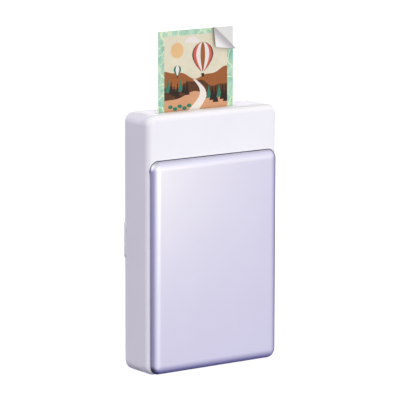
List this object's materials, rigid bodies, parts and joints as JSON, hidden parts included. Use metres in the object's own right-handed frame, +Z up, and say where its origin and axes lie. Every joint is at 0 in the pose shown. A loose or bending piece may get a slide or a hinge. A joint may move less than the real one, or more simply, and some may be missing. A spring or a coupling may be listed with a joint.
{
  "type": "compact photo printer",
  "caption": "Slim upright pocket photo printer with a hinged front cover over its paper tray and a print standing in the slot in its top.",
  "frame": {"origin": "middle of the flat base that it stands on", "axes": "+Z up, towards the exit slot; front with the cover faces -Y; +X to the right seen from the front"},
  "size_m": [0.0875, 0.0286, 0.1871],
  "materials": {
    "white_case": "satin",
    "lilac_cover": "satin",
    "grey_plastic": "matte",
    "dark_plastic": "matte",
    "light": "clear",
    "rubber": "matte",
    "foot_rubber": "matte",
    "steel": "satin",
    "nickel": "polished",
    "aluminium": "satin",
    "brass": "satin",
    "gear_plastic": "satin",
    "ceramic": "smooth",
    "ribbon": "satin",
    "wires": "satin",
    "board": "satin",
    "chips": "matte",
    "connector": "satin",
    "cell": "satin",
    "tape": "matte",
    "sheet": "smooth",
    "liner_sheet": "smooth",
    "picture": "gloss",
    "pad": "matte"
  },
  "bodies": {
    "case": {"rear_housing": "white_case", "front_frame": "white_case", "frame_magnets": "nickel", "rear_feet": "foot_rubber", "case_screws": "steel", "power_switch": "dark_plastic", "chassis": "dark_plastic", "side_plates": "steel", "paper_stack": "sheet", "paper_guide": "dark_plastic", "paper_sensor": "chips", "print_head": "ceramic", "heat_sink": "aluminium", "head_rod": "steel", "head_springs": "steel", "head_ribbon": "ribbon", "motor": "steel", "idler_post": "steel", "gear_plate": "steel", "gear_plate_screws": "steel", "motor_leads": "ribbon", "main_board": "board", "board_chips": "chips", "board_connectors": "connector", "board_shield": "steel", "board_screws": "steel", "battery": "cell", "battery_tape": "tape", "battery_leads": "wires", "usb_shell": "steel", "usb_tongue": "chips"},
    "lid": {"cover": "lilac_cover", "cover_liner": "grey_plastic", "hinge_pins": "steel", "cover_magnets": "nickel", "plate_springs": "steel"},
    "press_plate": {"pressure_plate": "dark_plastic", "plate_pads": "pad"},
    "key": {"power_key": "white_case", "status_light": "light", "switch_plunger": "dark_plastic"},
    "pickup": {"pickup_roller": "rubber", "pickup_shaft": "steel", "pickup_gear": "gear_plastic", "pickup_clip": "steel"},
    "platen": {"platen_roller": "rubber", "platen_shaft": "steel", "platen_gear": "gear_plastic", "platen_clip": "steel"},
    "idler": {"idler_gear": "gear_plastic"},
    "pinion": {"motor_pinion": "brass"},
    "print": {"print_backing": "liner_sheet", "print_film": "picture", "print_peel": "sheet"}
  },
  "joints": [
    {"name": "cover_hinge", "type": "hinge", "parent": "case", "child": "lid", "pos_m": [0, -0.0125, 0.1148], "axis": [-1, 0, 0], "range_deg": [0, 110]},
    {"name": "plate_slide", "type": "slide", "parent": "lid", "child": "press_plate", "axis": [0, 1, 0], "range_m": [-0.0015, 0], "stiffness_N_per_m": 60, "springref_m": 0.0005, "deforming": ["plate_springs"]},
    {"name": "key_press", "type": "slide", "parent": "case", "child": "key", "axis": [1, 0, 0], "range_m": [0, 0.0004], "stiffness_N_per_m": 500, "springref_m": -0.0003},
    {"name": "platen_turn", "type": "hinge", "parent": "case", "child": "platen", "pos_m": [0, -0.00025, 0.126], "axis": [1, 0, 0], "continuous": true},
    {"name": "idler_turn", "type": "hinge", "parent": "case", "child": "idler", "pos_m": [0, -0.00025, 0.1135], "axis": [1, 0, 0], "continuous": true},
    {"name": "pickup_turn", "type": "hinge", "parent": "case", "child": "pickup", "pos_m": [0, -0.00025, 0.101], "axis": [1, 0, 0], "continuous": true},
    {"name": "motor_turn", "type": "hinge", "parent": "case", "child": "pinion", "pos_m": [0, 0.00475, 0.12273], "axis": [1, 0, 0], "continuous": true},
    {"name": "print_slide", "type": "slide", "parent": "case", "child": "print", "axis": [0, 0, 1], "range_m": [-0.03, 0.014]}
  ],
  "couplings": [
    {"joint": "idler_turn", "follows": "platen_turn", "ratio": -1.5},
    {"joint": "pickup_turn", "follows": "platen_turn", "ratio": 1},
    {"joint": "motor_turn", "follows": "platen_turn", "ratio": 3.75}
  ]
}
